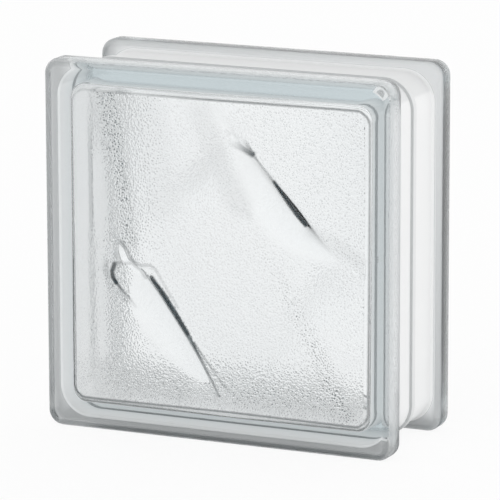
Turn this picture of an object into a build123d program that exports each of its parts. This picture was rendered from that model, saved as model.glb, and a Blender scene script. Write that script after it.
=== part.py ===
from build123d import *
import os
from math import asin, cos, pi, radians, sin, sqrt

# Hollow glass block, pressed as two equal half shells that are fused rim to rim.
# X runs across the face, Y from the front face to the rear face, Z up.
# The origin is the middle of the underside. All sizes are in millimetres.

# Overall block
face_side = 190.0
block_depth = 80.0

# Face flanges, the thick rims round both faces
flange_depth = 14.5
flange_corner = 8.0
face_edge_round = 4.5
flange_back_round = 2.9

# Barrel between the flanges, the floor of the mortar channel
channel_depth = 5.2
channel_corner = 15.0
channel_root_round = 2.1

# Bead of glass where the two rims were fused
seam_bead_width = 5.0
seam_bead_height = 1.3
seam_bead_round = 1.0

# Sealed cavity
wall = 6.2
face_thickness = 6.8
cavity_corner = 9.0
cavity_draft = 2.0
cavity_floor_round = 4.0

# Wave relief pressed into the inside of each face: long slanting swells like wide pleats
swell_rise = 2.6
swell_pitch = 124.0
swell_angle = -61.0
swell_shift = -32.0
swell_crispness = 0.985
swell_points_per_wave = 16

# Two eye-shaped folds that stand on the swells, with a slow rise to a crest and a steep fall
fold_rise = 3.3
fold_gentle_width = 20.0
fold_steep_width = 8.2
fold_sink = 0.3
fold_root = 1.5
fold_bend_power = 5
fold_sections = 11
fold_section_points = 9
fold_tip = 0.93

# The upper fold, fullest at its middle, with a tail that bends to the side
upper_fold_centre = (35.2, 29.6)
upper_fold_angle = -51.5
upper_fold_length = 104.0
upper_fold_fullest = 0.05
upper_fold_bend = 10.0

# The lower fold, fullest near its top end and straight to its tip
lower_fold_centre = (-20.5, -44.5)
lower_fold_angle = -53.5
lower_fold_length = 96.0
lower_fold_fullest = -0.45
lower_fold_bend = 0.0

# How near an edge has to be to a plane to count as lying in it
in_plane = 0.01

half_depth = block_depth / 2
barrel_side = face_side - 2 * channel_depth
cavity_side = barrel_side - 2 * wall
face_centre_height = face_side / 2


def bell(t):
    """Smooth hump: 1 at t = 0, level at its top and at its feet, 0 from t = 1 outwards."""
    return cos(pi * t / 2) ** 2 if abs(t) < 1 else 0.0


def swell_height(v):
    """Height of the long swells at this distance across them: even slopes between soft creases."""
    phase = 2 * pi * (v - swell_shift) / swell_pitch
    return swell_rise * (1 + asin(swell_crispness * cos(phase)) / asin(swell_crispness)) / 2


def evenly(count, end=1.0):
    """This many numbers, evenly from -end to end."""
    return [end * (2 * i / (count - 1) - 1) for i in range(count)]


def across_plane(angle, p=0.0, q=0.0, along=0.0):
    """Section plane square to a line at this angle on the face, for x across it and y outwards."""
    a = radians(angle)
    origin = (p + along * cos(a), 0, q + along * sin(a))
    return Plane(origin=origin, x_dir=(-sin(a), 0, cos(a)), z_dir=(cos(a), 0, sin(a)))


def outline(side, corner, depth_from_seam):
    """Rounded square across the block, this far in front of the seam."""
    return Plane.XZ.offset(depth_from_seam) * RectangleRounded(side, side, corner)


def edges_at(part, depth_from_seam):
    """The edges of a part that lie flat in the plane this far in front of the seam."""
    level = -depth_from_seam
    return part.edges().filter_by_position(Axis.Y, level - in_plane, level + in_plane)


def flange():
    """Thick rim of one face, with its front and back edges rounded."""
    back = half_depth - flange_depth
    slab = extrude(outline(face_side, flange_corner, back), amount=flange_depth)
    slab = fillet(edges_at(slab, half_depth), face_edge_round)
    return fillet(edges_at(slab, back), flange_back_round)


def outer_form():
    """Outside of one half shell: flange, barrel wall and its half of the seam bead."""
    back = half_depth - flange_depth
    barrel = extrude(outline(barrel_side, channel_corner, 0), amount=back + flange_depth / 2)
    form = flange() + barrel
    root = edges_at(form, back).filter_by(lambda e: e.bounding_box().max.X <= barrel_side / 2 + in_plane)
    form = fillet(root, channel_root_round)
    bead_side = barrel_side + 2 * seam_bead_height
    bead_corner = channel_corner + seam_bead_height
    bead = extrude(outline(bead_side, bead_corner, 0), amount=seam_bead_width / 2)
    bead = fillet(edges_at(bead, seam_bead_width / 2), seam_bead_round)
    return form + bead


def space_over_swells():
    """All the space from the long swells on the inside of the face back past the seam."""
    reach = face_side * sqrt(2) / 2
    count = 2 * round(reach / swell_pitch * swell_points_per_wave)
    places = [-reach + 2 * reach * i / count for i in range(count + 1)]
    crest = [(v, half_depth - face_thickness - swell_height(v)) for v in places]
    back = Polyline(crest[-1], (reach, -half_depth), (-reach, -half_depth), crest[0])
    section = make_face(Spline(*crest) + back)
    return extrude(across_plane(swell_angle, along=-reach) * section, amount=2 * reach)


def fold_section(plane, fullness, shift):
    """Cross-section of a fold on the swells: slow rise, crest, steep fall, and a root in the glass."""
    floor_depth = half_depth - face_thickness
    foot_depth = floor_depth + fold_sink
    a = radians(swell_angle)
    top = []
    for t in evenly(fold_section_points):
        width = fold_steep_width if t > 0 else fold_gentle_width
        x = shift + t * width * sqrt(fullness)
        place = plane.from_local_coords(Vector(x, 0, 0))
        swell = swell_height(place.Z * cos(a) - place.X * sin(a))
        top.append((x, foot_depth - swell - fold_rise * fullness * bell(t)))
    start, end = top[0][0], top[-1][0]
    root = Polyline(top[-1], (end, floor_depth + fold_root), (start, floor_depth + fold_root), top[0])
    return plane * make_face(Spline(*top) + root)


def fold(centre, angle, length, fullest, bend):
    """One eye-shaped fold, fullest at one place and running out to a point at both ends."""
    sections = []
    for station in evenly(fold_sections, fold_tip):
        fullness = bell((station - fullest) / (1 - fullest if station > fullest else 1 + fullest))
        shift = bend * ((1 + station) / 2) ** fold_bend_power
        plane = across_plane(angle, *centre, station * length / 2)
        sections.append(fold_section(plane, fullness, shift))
    return loft(sections)


def cavity():
    """Hollow of one half shell, drafted, with the wave relief for its floor."""
    floor_depth = half_depth - face_thickness
    hollow = extrude(outline(cavity_side, cavity_corner, 0), amount=floor_depth, taper=cavity_draft)
    hollow = fillet(edges_at(hollow, floor_depth), cavity_floor_round)
    hollow = hollow & space_over_swells()
    hollow = hollow - fold(
        upper_fold_centre, upper_fold_angle, upper_fold_length, upper_fold_fullest, upper_fold_bend
    )
    hollow = hollow - fold(
        lower_fold_centre, lower_fold_angle, lower_fold_length, lower_fold_fullest, lower_fold_bend
    )
    return hollow


def half_shell():
    """One pressed half: face towards -Y, open rim at the seam plane."""
    return outer_form() - cavity()


def main():
    shell = half_shell()
    lift = Pos(0, 0, face_centre_height)
    front_shell = lift * shell
    rear_shell = lift * Rot(0, 0, 180) * shell
    os.makedirs("parts", exist_ok=True)
    for name, piece in (("front_shell", front_shell), ("rear_shell", rear_shell)):
        solid = piece.solid()
        solid.label = name
        export_step(solid, "parts/" + name + ".step")
        print(name, round(solid.volume / 1000, 1), "cm3")


main()
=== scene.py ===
import math
import bpy
from mathutils import Matrix, Vector


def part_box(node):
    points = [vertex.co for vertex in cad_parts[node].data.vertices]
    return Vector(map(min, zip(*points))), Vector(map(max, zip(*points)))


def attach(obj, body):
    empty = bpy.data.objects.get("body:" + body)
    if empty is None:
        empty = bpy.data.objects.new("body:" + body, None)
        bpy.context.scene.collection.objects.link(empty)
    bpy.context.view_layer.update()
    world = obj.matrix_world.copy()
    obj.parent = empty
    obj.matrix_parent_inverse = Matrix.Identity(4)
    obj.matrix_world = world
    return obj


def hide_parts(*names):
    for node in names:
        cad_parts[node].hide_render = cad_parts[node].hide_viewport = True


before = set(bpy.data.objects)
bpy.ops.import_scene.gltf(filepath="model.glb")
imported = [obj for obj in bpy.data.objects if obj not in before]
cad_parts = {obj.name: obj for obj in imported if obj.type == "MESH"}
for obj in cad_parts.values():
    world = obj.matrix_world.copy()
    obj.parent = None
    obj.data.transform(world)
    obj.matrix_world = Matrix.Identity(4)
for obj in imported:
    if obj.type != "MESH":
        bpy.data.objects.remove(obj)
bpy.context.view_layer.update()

# The block is one body of clear soda-lime glass: two equal pressed halves fused rim to rim.
# Its outside has a thick rounded flange round each face, a mortar channel between them and
# the bead that the fusing left at the seam. It is modelled as a sheet wrapped round and closed.
block_low, block_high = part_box("front_shell")[0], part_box("rear_shell")[1]
face_side = block_high[0] - block_low[0]
half_depth = block_high[1]
mid_height = (block_low[2] + block_high[2]) / 2

flange_depth = 0.0145
flange_back = half_depth - flange_depth
flange_corner = 0.008
sharpest_corner = 0.0003
face_edge_round = 0.0045
flange_back_round = 0.0029
channel_depth = 0.0052
channel_corner = 0.015
channel_root_round = 0.0021
bead_half_width = 0.0025
bead_height = 0.0013
bead_round = 0.001
bead_foot = 0.0002
corner_steps = 14
round_steps = 7
merge_distance = 0.000005


def rounded_square(side, corner):
    """Points round a square with rounded corners, as (x, z) about its middle."""
    points = []
    centre = side / 2 - corner
    for quarter in range(4):
        cx = centre * (1 if quarter in (0, 3) else -1)
        cz = centre * (1 if quarter in (0, 1) else -1)
        for step in range(corner_steps + 1):
            a = math.pi / 2 * (quarter + step / corner_steps)
            points.append((cx + corner * math.cos(a), cz + corner * math.sin(a)))
    return points


def rounding(inset, depth, radius, start, end, corner_at):
    """Rings of an arc in section, from its centre's inset and depth, and from angle to angle."""
    rings = []
    for step in range(round_steps + 1):
        a = math.radians(start + (end - start) * step / round_steps)
        place = inset + radius * math.cos(a)
        rings.append((place, corner_at(place), depth + radius * math.sin(a)))
    return rings


def flange_corner_at(inset):
    return max(flange_corner - inset, sharpest_corner)


def channel_corner_at(inset):
    return channel_corner + channel_depth - inset


def half_section():
    """Rings of one half from its flat face to the seam: inset, corner radius, depth from the seam."""
    r = face_edge_round
    rings = rounding(r, half_depth - r, r, 90, 180, flange_corner_at)
    r = flange_back_round
    rings += rounding(r, flange_back + r, r, 180, 270, flange_corner_at)
    r = channel_root_round
    rings += rounding(channel_depth - r, flange_back - r, r, 90, 0, channel_corner_at)
    rings.append((channel_depth, channel_corner, bead_half_width + 2 * bead_foot))
    rings.append((channel_depth - bead_foot, channel_corner + bead_foot, bead_half_width))
    r = bead_round
    bead_top = channel_depth - bead_height
    rings += rounding(bead_top + r, bead_half_width - r, r, 90, 180, channel_corner_at)
    return rings


def wrapped_skin(name, rings):
    """A sheet wrapped round as a stack of rounded square rings, with both ends closed."""
    around = 4 * (corner_steps + 1)
    bpy.ops.object.select_all(action="DESELECT")
    bpy.ops.mesh.primitive_grid_add(x_subdivisions=around, y_subdivisions=len(rings) - 1)
    piece = bpy.context.object
    piece.name = name
    verts = piece.data.vertices
    for row, (inset, corner, y) in enumerate(rings):
        points = rounded_square(face_side - 2 * inset, corner)
        for column in range(around + 1):
            x, z = points[column % around]
            verts[row * (around + 1) + column].co = (x, y, z + mid_height)
    bpy.ops.object.mode_set(mode="EDIT")
    bpy.ops.mesh.select_all(action="SELECT")
    bpy.ops.mesh.remove_doubles(threshold=merge_distance)
    bpy.ops.mesh.select_all(action="DESELECT")
    bpy.ops.mesh.select_non_manifold()
    bpy.ops.mesh.fill_holes(sides=0)
    bpy.ops.mesh.select_all(action="SELECT")
    bpy.ops.mesh.normals_make_consistent(inside=False)
    bpy.ops.object.mode_set(mode="OBJECT")
    return piece


section = half_section()
front_rings = [(inset, corner, -y) for inset, corner, y in section]
rear_rings = [(inset, corner, y) for inset, corner, y in reversed(section)]
block = wrapped_skin("fused_glass_block", front_rings + rear_rings)

# Inside, the block is hollow. The plunger that pressed each half left drafted walls and the
# wave relief: long slanting swells like wide pleats, and two eye-shaped folds that stand on
# them, with the small ridges that run into their upper ends.
face_thickness = 0.0068
wall = 0.0062
cavity_corner = 0.009
cavity_draft = 2.0
cavity_floor_round = 0.004
floor_depth = half_depth - face_thickness
cavity_half = face_side / 2 - channel_depth - wall
draft_shift = floor_depth * math.tan(math.radians(cavity_draft))
floor_half = cavity_half - draft_shift - cavity_floor_round
floor_corner = cavity_corner - draft_shift - cavity_floor_round

swell_rise = 0.0026
swell_pitch = 0.124
swell_angle = -61.0
swell_shift = -0.032
swell_crispness = 0.985

fold_rise = 0.0033
fold_sink = 0.0003
fold_foot = 0.0001
fold_gentle_width = 0.020
fold_bend_power = 5
upper_fold = {
    "centre": (0.0338, 0.0290), "angle": -51.5, "length": 0.104,
    "fullest": 0.10, "bend": 0.016, "steep": 0.0094,
}
lower_fold = {
    "centre": (-0.0200, -0.0445), "angle": -54.2, "length": 0.098,
    "fullest": -0.45, "bend": 0.0, "steep": 0.0080,
}

ridge_width = 0.0032
ridge_rise = 0.0006
ridge_run_in = 4
ridge_run_out = 3
ridges = (
    ((-0.0600, -0.0070), (-0.0612, -0.0120), (-0.0606, -0.0165), (-0.0575, -0.0210),
     (-0.0480, -0.0310)),
    ((-0.0600, 0.0090), (-0.0530, -0.0005), (-0.0505, -0.0060), (-0.0455, -0.0100),
     (-0.0400, -0.0100), (-0.0370, -0.0125)),
    ((-0.0040, 0.0780), (0.0040, 0.0670), (0.0110, 0.0590), (0.0180, 0.0535)),
)

# The glass bends the light away at its sharp creases, so they look dark. Part of that comes from
# the relief, and the rest is painted shade: a dark coat on the inside of the face. Each has a half
# width, its darkness at the start and at the end, and its path over the face. The hook is the curl
# round the top of the lower fold, and the soft shades are painted shade over the broad hollows
# between the swells.
hook_painted_creases = (
    (0.0014, 0.80, 1.00, ((-0.0579, -0.0086), (-0.0594, -0.0125), (-0.0591, -0.0155), (-0.0571, -0.0183))),
    (0.0009, 0.90, 0.15, ((-0.0571, -0.0183), (-0.0552, -0.0202), (-0.0511, -0.0241), (-0.0465, -0.0296))),
    (0.0016, 0.25, 0.12, ((-0.0628, -0.0085), (-0.0634, -0.0120), (-0.0620, -0.0155))),
    (0.0009, 0.45, 0.30, ((-0.0545, 0.0035), (-0.0508, -0.0010), (-0.0485, -0.0055),
                          (-0.0435, -0.0083), (-0.0380, -0.0076))),
    (0.0009, 0.30, 0.22, ((-0.0380, -0.0076), (-0.0352, -0.0095), (-0.0325, -0.0140), (-0.0230, -0.0280))),
    (0.0009, 0.30, 0.30, ((-0.0588, -0.0082), (-0.0485, -0.0076), (-0.0434, -0.0110), (-0.0410, -0.0145))),
)
lower_fold_painted_creases = (
    (0.0013, 0.85, 0.80, ((-0.0374, -0.0140), (-0.0350, -0.0172), (-0.0320, -0.0215))),
    (0.0015, 0.95, 0.85, ((-0.0320, -0.0215), (-0.0271, -0.0285), (-0.0225, -0.0349), (-0.0179, -0.0413))),
    (0.0007, 0.50, 0.50, ((-0.0165, -0.0435), (-0.0100, -0.0550), (-0.0045, -0.0640), (-0.0003, -0.0715))),
    (0.0007, 0.50, 0.25, ((-0.0140, -0.0455), (-0.0070, -0.0545), (0.0000, -0.0630), (0.0050, -0.0685))),
    (0.0006, 0.45, 0.10, ((-0.0003, -0.0715), (-0.0040, -0.0700))),
)
upper_fold_painted_creases = (
    (0.0012, 0.80, 1.00, ((0.0305, 0.0405), (0.0380, 0.0300), (0.0425, 0.0245), (0.0470, 0.0202))),
    (0.0018, 0.05, 0.85, ((0.0070, 0.0590), (0.0130, 0.0565), (0.0190, 0.0538))),
    (0.0013, 0.05, 0.85, ((0.0140, 0.0615), (0.0165, 0.0575), (0.0192, 0.0535))),
    (0.0007, 0.60, 0.25, ((0.0192, 0.0535), (0.0240, 0.0480), (0.0292, 0.0425))),
)
painted_soft_shades = (
    (0.0070, 0.10, 0.12, ((-0.0620, 0.0770), (-0.0560, 0.0400), (-0.0510, 0.0050))),
    (0.0110, 0.09, 0.07, ((-0.0420, 0.0780), (-0.0360, 0.0500), (-0.0300, 0.0250))),
    (0.0070, 0.03, 0.08, ((-0.0400, 0.0280), (-0.0220, 0.0350), (-0.0050, 0.0470))),
    (0.0070, 0.10, 0.12, ((-0.0080, 0.0720), (-0.0010, 0.0500), (0.0060, 0.0370), (0.0120, 0.0280))),
    (0.0026, 0.10, 0.12, ((0.0025, 0.0560), (0.0050, 0.0430), (0.0100, 0.0330), (0.0170, 0.0230))),
    (0.0040, 0.10, 0.10, ((0.0500, 0.0170), (0.0640, 0.0120), (0.0800, 0.0020))),
    (0.0090, 0.06, 0.10, ((-0.0600, -0.0640), (-0.0420, -0.0650), (-0.0250, -0.0720))),
    (0.0060, 0.05, 0.10, ((0.0150, -0.0720), (0.0500, -0.0740), (0.0700, -0.0740))),
)
painted_crease_shades = hook_painted_creases + lower_fold_painted_creases + upper_fold_painted_creases + painted_soft_shades
crease_reach = 1.6
crease_core = 1.3
widest_crease = 0.003

coarse_cells = 128
fine_cuts = 2
fine_crease_margin = 0.0022
fine_before_crest = 0.003
fine_share_of_steep = 0.95
faintest_fine_fold = 0.02
floor_round_steps = 10


def bell(t):
    """Smooth hump: 1 at t = 0, level at its top and at its feet, 0 from t = 1 outwards."""
    return math.cos(math.pi * t / 2) ** 2 if abs(t) < 1 else 0.0


def on_fold(p, q, fold):
    """A place on the face as seen from a fold: how full the fold is there, and how far across."""
    a = math.radians(fold["angle"])
    p, q = p - fold["centre"][0], q - fold["centre"][1]
    station = 2 * (p * math.cos(a) + q * math.sin(a)) / fold["length"]
    across = q * math.cos(a) - p * math.sin(a)
    fullest = fold["fullest"]
    fullness = bell((station - fullest) / (1 - fullest if station > fullest else 1 + fullest))
    return fullness, across - fold["bend"] * max(0, (1 + station) / 2) ** fold_bend_power


def folds_at(p, q):
    """How far the folds stand over the swells: a slow rise to the crest and a steep fall behind it."""
    height = -fold_sink
    for fold in (upper_fold, lower_fold):
        fullness, across = on_fold(p, q, fold)
        if fullness > 0:
            width = fold["steep"] if across > 0 else fold_gentle_width
            height += fold_rise * fullness * bell(across / width / math.sqrt(fullness))
    return (height + math.hypot(height, fold_foot)) / 2


def along_path(p, q, path):
    """How far a place is from a path, and what share of the path lies before it."""
    nearest, share = math.inf, 0.0
    for i in range(len(path) - 1):
        (x0, z0), (x1, z1) = path[i], path[i + 1]
        dx, dz = x1 - x0, z1 - z0
        t = min(max(((p - x0) * dx + (q - z0) * dz) / (dx * dx + dz * dz), 0), 1)
        away = math.hypot(p - x0 - t * dx, q - z0 - t * dz)
        if away < nearest:
            nearest, share = away, (i + t) / (len(path) - 1)
    return nearest, share


def ridges_at(p, q):
    """How far the small ridges stand out, running out at both ends."""
    total = 0.0
    for path in ridges:
        nearest, share = along_path(p, q, path)
        fullness = min(1, ridge_run_in * share, ridge_run_out * (1 - share))
        total += ridge_rise * bell(nearest / ridge_width) * fullness
    return total


def across_swells(p, q):
    a = math.radians(swell_angle)
    return q * math.cos(a) - p * math.sin(a)


def swells_at(p, q):
    """How far the long swells stand out: even slopes between soft creases."""
    phase = 2 * math.pi * (across_swells(p, q) - swell_shift) / swell_pitch
    return swell_rise * (1 + math.asin(swell_crispness * math.cos(phase)) / math.asin(swell_crispness)) / 2


def relief(p, q):
    """How far the inside of a face stands proud of its thinnest level, p to the right and q up."""
    return swells_at(p, q) + folds_at(p, q) + ridges_at(p, q)


def needs_fine_cells(p, q):
    """Whether a place lies on the steep side of a fold or near one of the narrow creases."""
    for fold in (upper_fold, lower_fold):
        fullness, across = on_fold(p, q, fold)
        past_steep = across / fold["steep"]
        if fullness > faintest_fine_fold and across > -fine_before_crest and past_steep < fine_share_of_steep:
            return True
    for width, start, end, path in painted_crease_shades:
        if width < widest_crease and along_path(p, q, path)[0] < fine_crease_margin:
            return True
    return False


def rounded_place(p, q):
    """The place on a square grid moved onto the rounded square of the cavity floor."""
    inner = floor_half - floor_corner
    s, t = (abs(p) - inner) / floor_corner, (abs(q) - inner) / floor_corner
    if s > 0 and t > 0:
        p = math.copysign(inner + floor_corner * s * math.sqrt(1 - t * t / 2), p)
        q = math.copysign(inner + floor_corner * t * math.sqrt(1 - s * s / 2), q)
    return p, q


def outward(p, q):
    """Direction square to the outline of the cavity floor at a place on it."""
    inner = floor_half - floor_corner
    dp = math.copysign(max(abs(p) - inner, 0), p)
    dq = math.copysign(max(abs(q) - inner, 0), q)
    return Vector((dp, dq)).normalized()


def spot(place):
    """A key for a point of the border, by where it lies."""
    return round(place.x, 7), round(place.z, 7)


# The relief is a grid of cells, finer on the steep sides and at the creases, pushed into shape.
bpy.ops.object.select_all(action="DESELECT")
bpy.ops.mesh.primitive_grid_add(x_subdivisions=coarse_cells, y_subdivisions=coarse_cells, size=2 * floor_half)
hollow = bpy.context.object
bpy.ops.object.mode_set(mode="EDIT")
bpy.ops.mesh.select_mode(type="FACE")
bpy.ops.mesh.select_all(action="DESELECT")
bpy.ops.object.mode_set(mode="OBJECT")
for cell in hollow.data.polygons:
    cell.select = needs_fine_cells(cell.center.x, cell.center.y)
bpy.ops.object.mode_set(mode="EDIT")
bpy.ops.mesh.subdivide(number_cuts=fine_cuts)
bpy.ops.object.mode_set(mode="OBJECT")
for v in hollow.data.vertices:
    p, q = rounded_place(v.co.x, v.co.y)
    v.co = (p, relief(p, q) - floor_depth, q + mid_height)

# Its border is extruded round the corner and back along the drafted walls to the seam. Each ring
# has its shift outwards, its height over the floor and the share of the relief that it keeps.
r = cavity_floor_round
wall_rings = []
for step in range(1, floor_round_steps + 1):
    a = math.pi / 2 * step / floor_round_steps
    wall_rings.append((r * math.sin(a), r * (1 - math.cos(a)), math.cos(a)))
wall_rings.append((r + draft_shift * (1 - r / floor_depth), floor_depth, 0))

bpy.ops.object.mode_set(mode="EDIT")
bpy.ops.mesh.select_mode(type="EDGE")
bpy.ops.mesh.select_all(action="DESELECT")
bpy.ops.mesh.select_non_manifold()
bpy.ops.object.mode_set(mode="OBJECT")
rim = {}
for v in hollow.data.vertices:
    if v.select:
        rim[spot(v.co)] = (v.co.copy(), outward(v.co.x, v.co.z - mid_height))
last = {key: key for key in rim}
for shift, height, kept in wall_rings:
    bpy.ops.object.mode_set(mode="EDIT")
    bpy.ops.mesh.extrude_edges_move()
    bpy.ops.object.mode_set(mode="OBJECT")
    now = {}
    for v in hollow.data.vertices:
        if v.select:
            key = last[spot(v.co)]
            start, way = rim[key]
            rise = (start.y + floor_depth) * kept
            v.co = (start.x + way.x * shift, height + rise - floor_depth, start.z + way.y * shift)
            now[spot(v.co)] = key
    last = now

# The hollow of the rear half is the same, turned half round, and the two meet at the seam.
bpy.ops.object.select_all(action="DESELECT")
hollow.select_set(True)
bpy.context.view_layer.objects.active = hollow
bpy.ops.object.duplicate()
rear_hollow = bpy.context.object
rear_hollow.data.transform(Matrix.Rotation(math.pi, 4, "Z"))
hollow.select_set(True)
bpy.context.view_layer.objects.active = hollow
bpy.ops.object.join()
bpy.ops.object.mode_set(mode="EDIT")
bpy.ops.mesh.select_all(action="SELECT")
bpy.ops.mesh.remove_doubles(threshold=merge_distance)
bpy.ops.mesh.normals_make_consistent(inside=True)
bpy.ops.object.mode_set(mode="OBJECT")

bpy.ops.object.select_all(action="DESELECT")
hollow.select_set(True)
block.select_set(True)
bpy.context.view_layer.objects.active = block
bpy.ops.object.join()
bpy.ops.object.shade_smooth()
weights = block.modifiers.new("weights", "WEIGHTED_NORMAL")
bpy.ops.object.modifier_apply(modifier=weights.name)

# The finish and the painted shade change over the glass, and ride on its points as four shares. The mould
# left a hammered stipple on the inside of the faces, and the rims have a satin skin. The mortar channel
# has a matt coat. The grooves, the backs of the flanges, the rims and the sharp creases have painted
# shade: a dark coat that stands in for the shade there.
finish_and_painted_shade_names = ("stipple", "matt_and_painted_shade", "satin", "painted_shade")
barrel_half = face_side / 2 - channel_depth
edge_tolerance = 0.0002


def past_corner(p, q, half, corner):
    """How far a place lies outside a rounded square, or inside it where the number is below 0."""
    inner = half - corner
    return math.hypot(max(abs(p) - inner, 0), max(abs(q) - inner, 0)) - corner


def share_of(length, whole):
    """How much of a whole length has been passed, from 0 to 1."""
    return max(0.0, min(1.0, length / whole))


# Matt coat, satin and painted shade on the outside, from the seam bead to the backs of the flanges.
# The bead, most at its feet, the top of the channel and the flanges have painted shade, more of it
# at the backs low down and at the left.
bead_top_finish_and_painted_shade = (0.8, 0.3, 0.1)
bead_foot_finish_and_painted_shade = (0.9, 0.3, 0.42)
channel_finish = (1.0, 0.0, 0.0)
channel_top_coat_and_painted_shade = (1.0, 0.0, 0.1)
flange_root_finish_and_painted_shade = (0.4, 0.35, 0.45)
flange_back_finish_and_painted_shade = (0.25, 0.3, 0.6)
bead_top_depth = bead_half_width - 0.0006
bead_foot_depth = bead_half_width + 0.0002
channel_reach = 0.0014
channel_top_height = 0.08
root_depth = flange_back + 0.0006
back_depth = flange_back - 0.0004
back_low_from = 0.084
back_left_share = 0.6
back_low_painted_shade_share = 0.3
back_low_painted_darkness = 0.2
edge_blend = 0.004


def channel_finish_at(p, q, depth):
    """Matt coat, satin and painted shade of the seam bead, the channel and the backs of the flanges."""
    if depth < bead_top_depth:
        return bead_top_finish_and_painted_shade
    if depth < bead_foot_depth:
        return bead_foot_finish_and_painted_shade
    # The top of the channel has a little painted shade, for the dimmer light from above.
    if past_corner(p, q, barrel_half, channel_corner) < channel_reach:
        matt_and_painted_shade, satin, painted_shade = channel_top_coat_and_painted_shade if q > channel_top_height else channel_finish
    elif depth < root_depth:
        matt_and_painted_shade, satin, painted_shade = flange_root_finish_and_painted_shade
    else:
        matt_and_painted_shade, satin, painted_shade = flange_back_finish_and_painted_shade
    # The backs of the flanges get more painted shade low down and at the left.
    if depth > back_depth:
        low = share_of(-q - back_low_from, edge_blend)
        left = share_of(-p - back_low_from, edge_blend)
        low_left_painted_shade = max(low, back_left_share * left)
        matt_and_painted_shade += back_low_painted_shade_share * low_left_painted_shade
        painted_shade += back_low_painted_darkness * low_left_painted_shade
    return matt_and_painted_shade, satin, painted_shade


# The sides and the rounded front edges of the rims, with painted shade: grey on the sides, and dark on the
# edges low down and at the left.
rim_side_finish_and_painted_shade = (0.6, 0.32, 0.2, 0.17)
rim_side_width = 0.0012
rim_edge_width = 0.0042
rim_edge_painted_darkness = 0.75
rim_edge_from = 0.085
lower_edge_painted_shade = 0.34
left_edge_painted_shade = 0.26


def rim_edge_painted_shade_at(p, q):
    """Stipple, matt, satin and painted shade of the rounded edge of a face, with more painted shade low down
    and at the left.
    """
    low = share_of(-q - rim_edge_from, edge_blend)
    left = share_of(-p - rim_edge_from, edge_blend)
    return 0.0, lower_edge_painted_shade * low + left_edge_painted_shade * left, 0.0, rim_edge_painted_darkness


# The relief on the inside of the faces, with painted shade on its creases and in its specks. The rear
# one is seen through the front one, and is plainer.
plain_stipple = 0.3
fold_smoothing = 0.0005
ridge_smoothing = 0.0004
smooth_patch = (-0.055, -0.004)
smooth_patch_size = 0.008
relief_painted_shade = 0.4
rear_stipple_share = 0.4
rear_painted_crease_share = 0.25


def stipple_at(p, q):
    """How deep the stipple is: deepest in the bands, and smoothed away on the folds."""
    v = across_swells(p, q)
    all_but_left_edge = share_of(p + 0.068 + 0.05 * q, 0.006)
    right_slope = share_of(v - 0.035, 0.02)
    left_band = bell((p + 0.050 + 0.15 * q) / (0.008 + 0.06 * abs(q - 0.03))) * share_of(q + 0.006, 0.01)
    lower_right_band = bell((v - 0.026) / 0.010) * share_of(0.01 - q, 0.03)
    lower_band = bell((q + 0.068) / 0.018) * share_of(0.03 - v, 0.005)
    upper_left = share_of(swell_shift - v, 0.01) * share_of(q, 0.02)
    strength = plain_stipple + 0.25 * all_but_left_edge + 0.2 * right_slope - 0.35 * upper_left
    strength += 0.95 * left_band + 0.4 * lower_right_band + 0.45 * lower_band
    from_patch = math.hypot(p - smooth_patch[0], q - smooth_patch[1])
    smooth = folds_at(p, q) / fold_smoothing + ridges_at(p, q) / ridge_smoothing
    smooth += 1.2 * bell(from_patch / smooth_patch_size)
    return strength * max(0.0, 1 - smooth)


def painted_crease_shade_at(p, q):
    """How dark the painted shade on the sharp creases is."""
    darkest = 0.0
    for width, start, end, path in painted_crease_shades:
        nearest, share = along_path(p, q, path)
        core = min(1, crease_core * bell(nearest / width / crease_reach))
        darkest = max(darkest, (start + (end - start) * share) * core)
    return darkest


def relief_finish_and_painted_shade_at(p, q, front):
    """Stipple, matt, satin and painted shade of the relief, turned half round in the rear half."""
    if front:
        stipple, dark = stipple_at(p, q), painted_crease_shade_at(p, q)
    else:
        stipple, dark = rear_stipple_share * stipple_at(-p, q), rear_painted_crease_share * painted_crease_shade_at(-p, q)
    return stipple, dark, 0.0, min(1, relief_painted_shade + dark)


# The thin dark line round the relief is painted shade, for the light that the rounding bends away.
# It lies further out at the sides than at the top and bottom, and it is fainter at the upper left and at the
# right.
line_place = 0.001
line_place_at_sides = 0.0028
line_width = 0.0011
painted_line_share = 0.85
fainter_upper_left = 0.55
fainter_right = 0.25
side_from = 0.07


def painted_border_line_at(p, q, past_floor):
    """Stipple, matt, satin and painted shade of the rounding where the relief meets the drafted walls: a
    painted dark line.
    """
    sideways = share_of(abs(p) - abs(q), 0.008)
    middle = line_place + (line_place_at_sides - line_place) * sideways
    line = bell((past_floor - middle) / line_width)
    upper_left = share_of(-p, side_from) * share_of(q + 0.01, 0.01)
    right_side = share_of(p, side_from) * sideways
    matt_and_painted_shade = painted_line_share - fainter_upper_left * upper_left - fainter_right * right_side
    return 0.0, matt_and_painted_shade * line, 0.0, line


def finish_and_painted_shade_at(place):
    """Stipple, matt, satin and painted shade of a point of the glass, by where it lies."""
    p, q, depth = place.x, place.z - mid_height, abs(place.y)
    past_barrel = past_corner(p, q, barrel_half, channel_corner)
    past_rim = past_corner(p, q, face_side / 2, flange_corner)
    past_floor = past_corner(p, q, floor_half, floor_corner)
    if past_barrel >= -0.0008 and depth <= flange_back + flange_back_round + 0.0001:
        return 0.0, *channel_finish_at(p, q, depth)
    if past_rim > -rim_side_width and depth > flange_back:
        return rim_side_finish_and_painted_shade
    if past_rim > -rim_edge_width and depth > half_depth - face_edge_round:
        return rim_edge_painted_shade_at(p, q)
    on_mould_face = 0.02 <= depth <= floor_depth + 0.001
    if on_mould_face and past_floor < edge_tolerance:
        return relief_finish_and_painted_shade_at(p, q, place.y < 0)
    if on_mould_face and past_floor < cavity_floor_round + edge_tolerance:
        return painted_border_line_at(p, q, past_floor)
    return 0.0, 0.0, 0.0, 0.0


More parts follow.
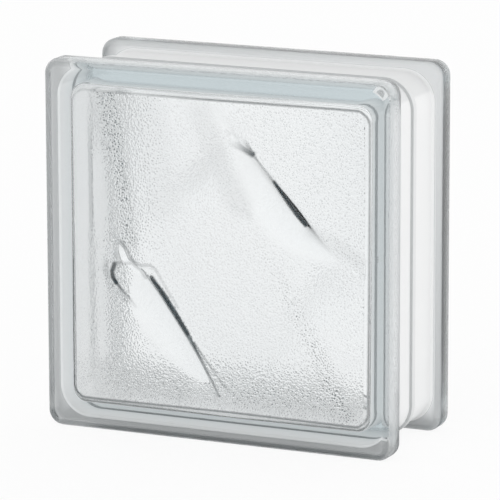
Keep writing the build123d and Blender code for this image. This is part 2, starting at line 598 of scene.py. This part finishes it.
finishes_and_painted_shades = [finish_and_painted_shade_at(v.co) for v in block.data.vertices]
for name, shares in zip(finish_and_painted_shade_names, zip(*finishes_and_painted_shades)):
    block.data.attributes.new(name, "FLOAT", "POINT").data.foreach_set("value", shares)

# Clear pressed glass with the faint grey green of its iron, seen where the way through it is long.
glass = bpy.data.materials.new("pressed_glass")
glass.use_nodes = True
nodes, links = glass.node_tree.nodes, glass.node_tree.links
surface = nodes["Material Output"]
clear = nodes["Principled BSDF"]
clear.inputs["Base Color"].default_value = (1, 1, 1, 1)
clear.inputs["IOR"].default_value = 1.52
clear.inputs["Transmission Weight"].default_value = 1.0
iron = nodes.new("ShaderNodeVolumeAbsorption")
iron.inputs["Color"].default_value = (0.10, 0.26, 0.31, 1)
iron.inputs["Density"].default_value = 9.0
links.new(iron.outputs["Volume"], surface.inputs["Volume"])

share = {}
for name in finish_and_painted_shade_names:
    attribute = nodes.new("ShaderNodeAttribute")
    attribute.attribute_name = name
    share[name] = attribute.outputs["Fac"]
links.new(share["satin"], clear.inputs["Roughness"])

# The stipple is a field of small round dents, and the middle of a deep one has a painted dark
# speck: painted shade for the light that the dent traps.
place = nodes.new("ShaderNodeTexCoord")
cells = nodes.new("ShaderNodeTexVoronoi")
cells.feature = "SMOOTH_F1"
cells.inputs["Scale"].default_value = 950
cells.inputs["Smoothness"].default_value = 0.5
links.new(place.outputs["Object"], cells.inputs["Vector"])
dents = nodes.new("ShaderNodeMath")
dents.operation = "MULTIPLY"
links.new(cells.outputs["Distance"], dents.inputs[0])
links.new(share["stipple"], dents.inputs[1])
bump = nodes.new("ShaderNodeBump")
bump.inputs["Strength"].default_value = 1.0
bump.inputs["Distance"].default_value = 0.00045
links.new(dents.outputs[0], bump.inputs["Height"])
links.new(bump.outputs["Normal"], clear.inputs["Normal"])
painted_speck_mask = nodes.new("ShaderNodeMapRange")
painted_speck_mask.inputs["From Min"].default_value = 0.38
painted_speck_mask.inputs["From Max"].default_value = 0.12
painted_speck_mask.inputs["To Max"].default_value = 0.45
links.new(cells.outputs["Distance"], painted_speck_mask.inputs["Value"])
deep_stipple = nodes.new("ShaderNodeMath")
deep_stipple.operation = "POWER"
deep_stipple.inputs[1].default_value = 1.6
links.new(share["stipple"], deep_stipple.inputs[0])
painted_specks = nodes.new("ShaderNodeMath")
painted_specks.operation = "MULTIPLY"
links.new(painted_speck_mask.outputs["Result"], painted_specks.inputs[0])
links.new(deep_stipple.outputs[0], painted_specks.inputs[1])

# The mortar channel has a matt white coat: light passes it only as a soft glow. Where shade is
# painted, and in the painted specks, the coat is painted dark.
painted_shade_colour_share = nodes.new("ShaderNodeMath")
painted_shade_colour_share.operation = "MULTIPLY_ADD"
painted_shade_colour_share.inputs[1].default_value = 2.0
painted_shade_colour_share.use_clamp = True
links.new(painted_specks.outputs[0], painted_shade_colour_share.inputs[0])
links.new(share["painted_shade"], painted_shade_colour_share.inputs[2])
coat_and_painted_shade_colour = nodes.new("ShaderNodeMix")
coat_and_painted_shade_colour.data_type = "RGBA"
coat_and_painted_shade_colour.inputs[6].default_value = (0.97, 0.975, 0.975, 1)
# The second colour is the dark of the painted shade.
coat_and_painted_shade_colour.inputs[7].default_value = (0.02, 0.04, 0.05, 1)
links.new(painted_shade_colour_share.outputs[0], coat_and_painted_shade_colour.inputs[0])
coat_front = nodes.new("ShaderNodeBsdfDiffuse")
coat_glow = nodes.new("ShaderNodeBsdfTranslucent")
links.new(coat_and_painted_shade_colour.outputs[2], coat_front.inputs["Color"])
links.new(coat_and_painted_shade_colour.outputs[2], coat_glow.inputs["Color"])

# From inside the glass the coat glows, and less so where it is satin.
most_glow = nodes.new("ShaderNodeMath")
most_glow.operation = "MULTIPLY_ADD"
most_glow.inputs[1].default_value = -1.6
most_glow.inputs[2].default_value = 1.0
links.new(share["satin"], most_glow.inputs[0])
side = nodes.new("ShaderNodeNewGeometry")
glow_share = nodes.new("ShaderNodeMapRange")
glow_share.inputs["To Min"].default_value = 0.06
links.new(most_glow.outputs[0], glow_share.inputs["To Max"])
links.new(side.outputs["Backfacing"], glow_share.inputs["Value"])
coat = nodes.new("ShaderNodeMixShader")
links.new(glow_share.outputs["Result"], coat.inputs["Fac"])
links.new(coat_front.outputs[0], coat.inputs[1])
links.new(coat_glow.outputs[0], coat.inputs[2])

matt_and_painted_specks = nodes.new("ShaderNodeMath")
matt_and_painted_specks.operation = "ADD"
matt_and_painted_specks.use_clamp = True
links.new(share["matt_and_painted_shade"], matt_and_painted_specks.inputs[0])
links.new(painted_specks.outputs[0], matt_and_painted_specks.inputs[1])
finish_mix = nodes.new("ShaderNodeMixShader")
links.new(matt_and_painted_specks.outputs[0], finish_mix.inputs["Fac"])
links.new(clear.outputs[0], finish_mix.inputs[1])
links.new(coat.outputs[0], finish_mix.inputs[2])
links.new(finish_mix.outputs[0], surface.inputs["Surface"])

block.data.materials.append(glass)
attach(block, "root")
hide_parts("front_shell", "rear_shell")

# Plain pale floor. It shows white with the block's soft shadow on it, and what is seen through
# the glass is the light of the room.
floor_size = 12
bpy.ops.mesh.primitive_plane_add(size=floor_size)
floor = bpy.context.object
floor.name = "studio_floor"
floor_paint = bpy.data.materials.new("studio_floor_white")
floor_paint.use_nodes = True
nodes, links = floor_paint.node_tree.nodes, floor_paint.node_tree.links
nodes.remove(nodes["Principled BSDF"])
paint = nodes.new("ShaderNodeBsdfDiffuse")
paint.inputs["Color"].default_value = (0.95, 0.95, 0.95, 1)
white = nodes.new("ShaderNodeEmission")
ray = nodes.new("ShaderNodeLightPath")
white_share = nodes.new("ShaderNodeMath")
white_share.operation = "MULTIPLY"
white_share.inputs[1].default_value = 0.9
links.new(ray.outputs["Is Camera Ray"], white_share.inputs[0])
painted = nodes.new("ShaderNodeMixShader")
links.new(white_share.outputs[0], painted.inputs["Fac"])
links.new(paint.outputs[0], painted.inputs[1])
links.new(white.outputs[0], painted.inputs[2])
open_below = nodes.new("ShaderNodeBsdfTransparent")
through = nodes.new("ShaderNodeMixShader")
links.new(ray.outputs["Is Transmission Ray"], through.inputs["Fac"])
links.new(painted.outputs[0], through.inputs[1])
links.new(open_below.outputs[0], through.inputs[2])
links.new(through.outputs[0], nodes["Material Output"].inputs["Surface"])
floor.data.materials.append(floor_paint)

# Soft studio light from a white room, dimmer overhead. What shows through the glass is a lit
# backdrop, brightest high up behind the block.
world = bpy.data.worlds.new("studio_world")
bpy.context.scene.world = world
world.use_nodes = True
nodes, links = world.node_tree.nodes, world.node_tree.links
background = nodes["Background"]
background.inputs["Color"].default_value = (1, 1, 1, 1)
room = nodes.new("ShaderNodeTexCoord")
height = nodes.new("ShaderNodeSeparateXYZ")
links.new(room.outputs["Generated"], height.inputs[0])
room_level = nodes.new("ShaderNodeMapRange")
room_level.inputs["From Min"].default_value = 0.3
room_level.inputs["From Max"].default_value = 1.0
room_level.inputs["To Min"].default_value = 1.22
room_level.inputs["To Max"].default_value = 0.65
links.new(height.outputs["Z"], room_level.inputs["Value"])
backdrop = nodes.new("ShaderNodeVectorMath")
backdrop.operation = "DOT_PRODUCT"
backdrop.inputs[1].default_value = (0.05, 0.8, 0.6)
links.new(room.outputs["Generated"], backdrop.inputs[0])
backdrop_level = nodes.new("ShaderNodeMapRange")
backdrop_level.inputs["From Min"].default_value = 0.0
backdrop_level.inputs["From Max"].default_value = 1.0
backdrop_level.inputs["To Min"].default_value = 0.76
backdrop_level.inputs["To Max"].default_value = 1.2
links.new(backdrop.outputs["Value"], backdrop_level.inputs["Value"])
ray = nodes.new("ShaderNodeLightPath")
level = nodes.new("ShaderNodeMix")
links.new(ray.outputs["Is Transmission Ray"], level.inputs["Factor"])
links.new(room_level.outputs["Result"], level.inputs["A"])
links.new(backdrop_level.outputs["Result"], level.inputs["B"])
links.new(level.outputs["Result"], background.inputs["Strength"])

bpy.context.scene.view_settings.view_transform = "Standard"

# Camera at the photograph's viewing angle, with its focal length measured in picture widths.
azimuth, elevation, roll = math.radians(24.6), math.radians(12.28), math.radians(-0.15)
distance = 2.1467
sensor_width = 36
focal_widths = 8.4918
aim_x, aim_z = 0.00116, -0.00324
level_back = Vector((math.sin(azimuth), -math.cos(azimuth), 0))
back = level_back * math.cos(elevation) + Vector((0, 0, math.sin(elevation)))
right = Vector((math.cos(azimuth), math.sin(azimuth), 0))
up = back.cross(right)
eye = right * aim_x + up * aim_z + back * distance + Vector((0, 0, mid_height))
turned_right = right * math.cos(roll) + up * math.sin(roll)
turned_up = up * math.cos(roll) - right * math.sin(roll)
camera_data = bpy.data.cameras.new("studio_camera")
camera_data.lens = focal_widths * sensor_width
camera_data.sensor_width = sensor_width
camera = bpy.data.objects.new("studio_camera", camera_data)
bpy.context.collection.objects.link(camera)
camera.matrix_world = Matrix((
    (turned_right.x, turned_up.x, back.x, eye.x),
    (turned_right.y, turned_up.y, back.y, eye.y),
    (turned_right.z, turned_up.z, back.z, eye.z),
    (0, 0, 0, 1),
))
bpy.context.scene.camera = camera
